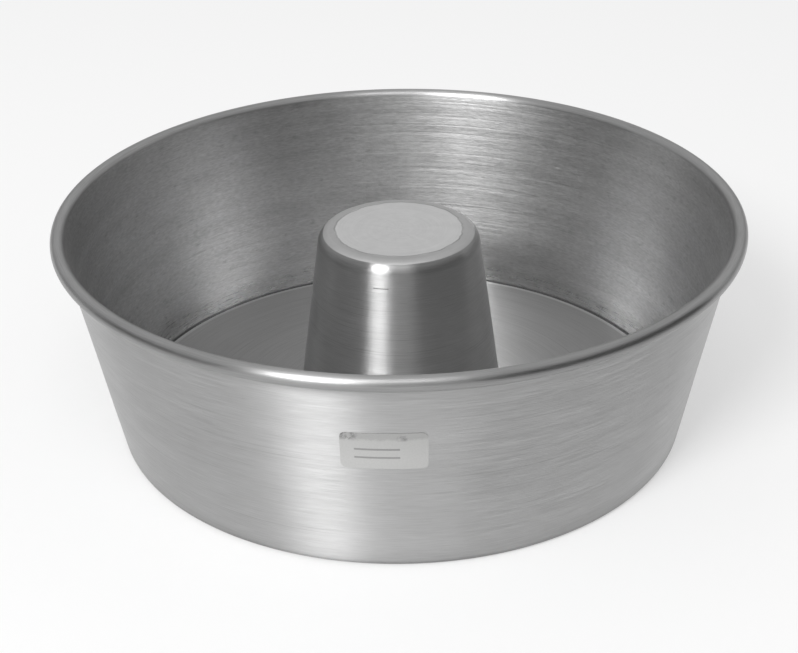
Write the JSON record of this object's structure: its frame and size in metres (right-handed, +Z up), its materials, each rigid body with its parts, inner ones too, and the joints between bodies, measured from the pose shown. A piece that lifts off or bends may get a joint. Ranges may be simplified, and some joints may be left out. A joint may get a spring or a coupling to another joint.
{
  "type": "ring cake pan",
  "caption": "Round aluminium ring cake pan with a leaning wall, a rolled rim and a loose base that carries a closed centre tube.",
  "frame": {"origin": "on the table under the pan's centre", "axes": "+Z up out of the pan's mouth, -Y towards the size label, +X to the label's right"},
  "size_m": [0.2431, 0.243, 0.08],
  "materials": {
    "shell_aluminium": "spun aluminium, fine circular tool lines outside, blotched inside",
    "base_aluminium": "spun aluminium, smooth with fine circular tool lines",
    "label_paper": "matt paper sticker, grimy along its upper edge"
  },
  "bodies": {
    "shell": {"pan_shell": "shell_aluminium", "size_label": "label_paper"},
    "base": {"loose_base": "base_aluminium"}
  },
  "joints": [
    {"name": "base_lift", "type": "slide", "parent": "shell", "child": "base", "axis": [0, 0, 1], "range_m": [0, 0.1]}
  ]
}
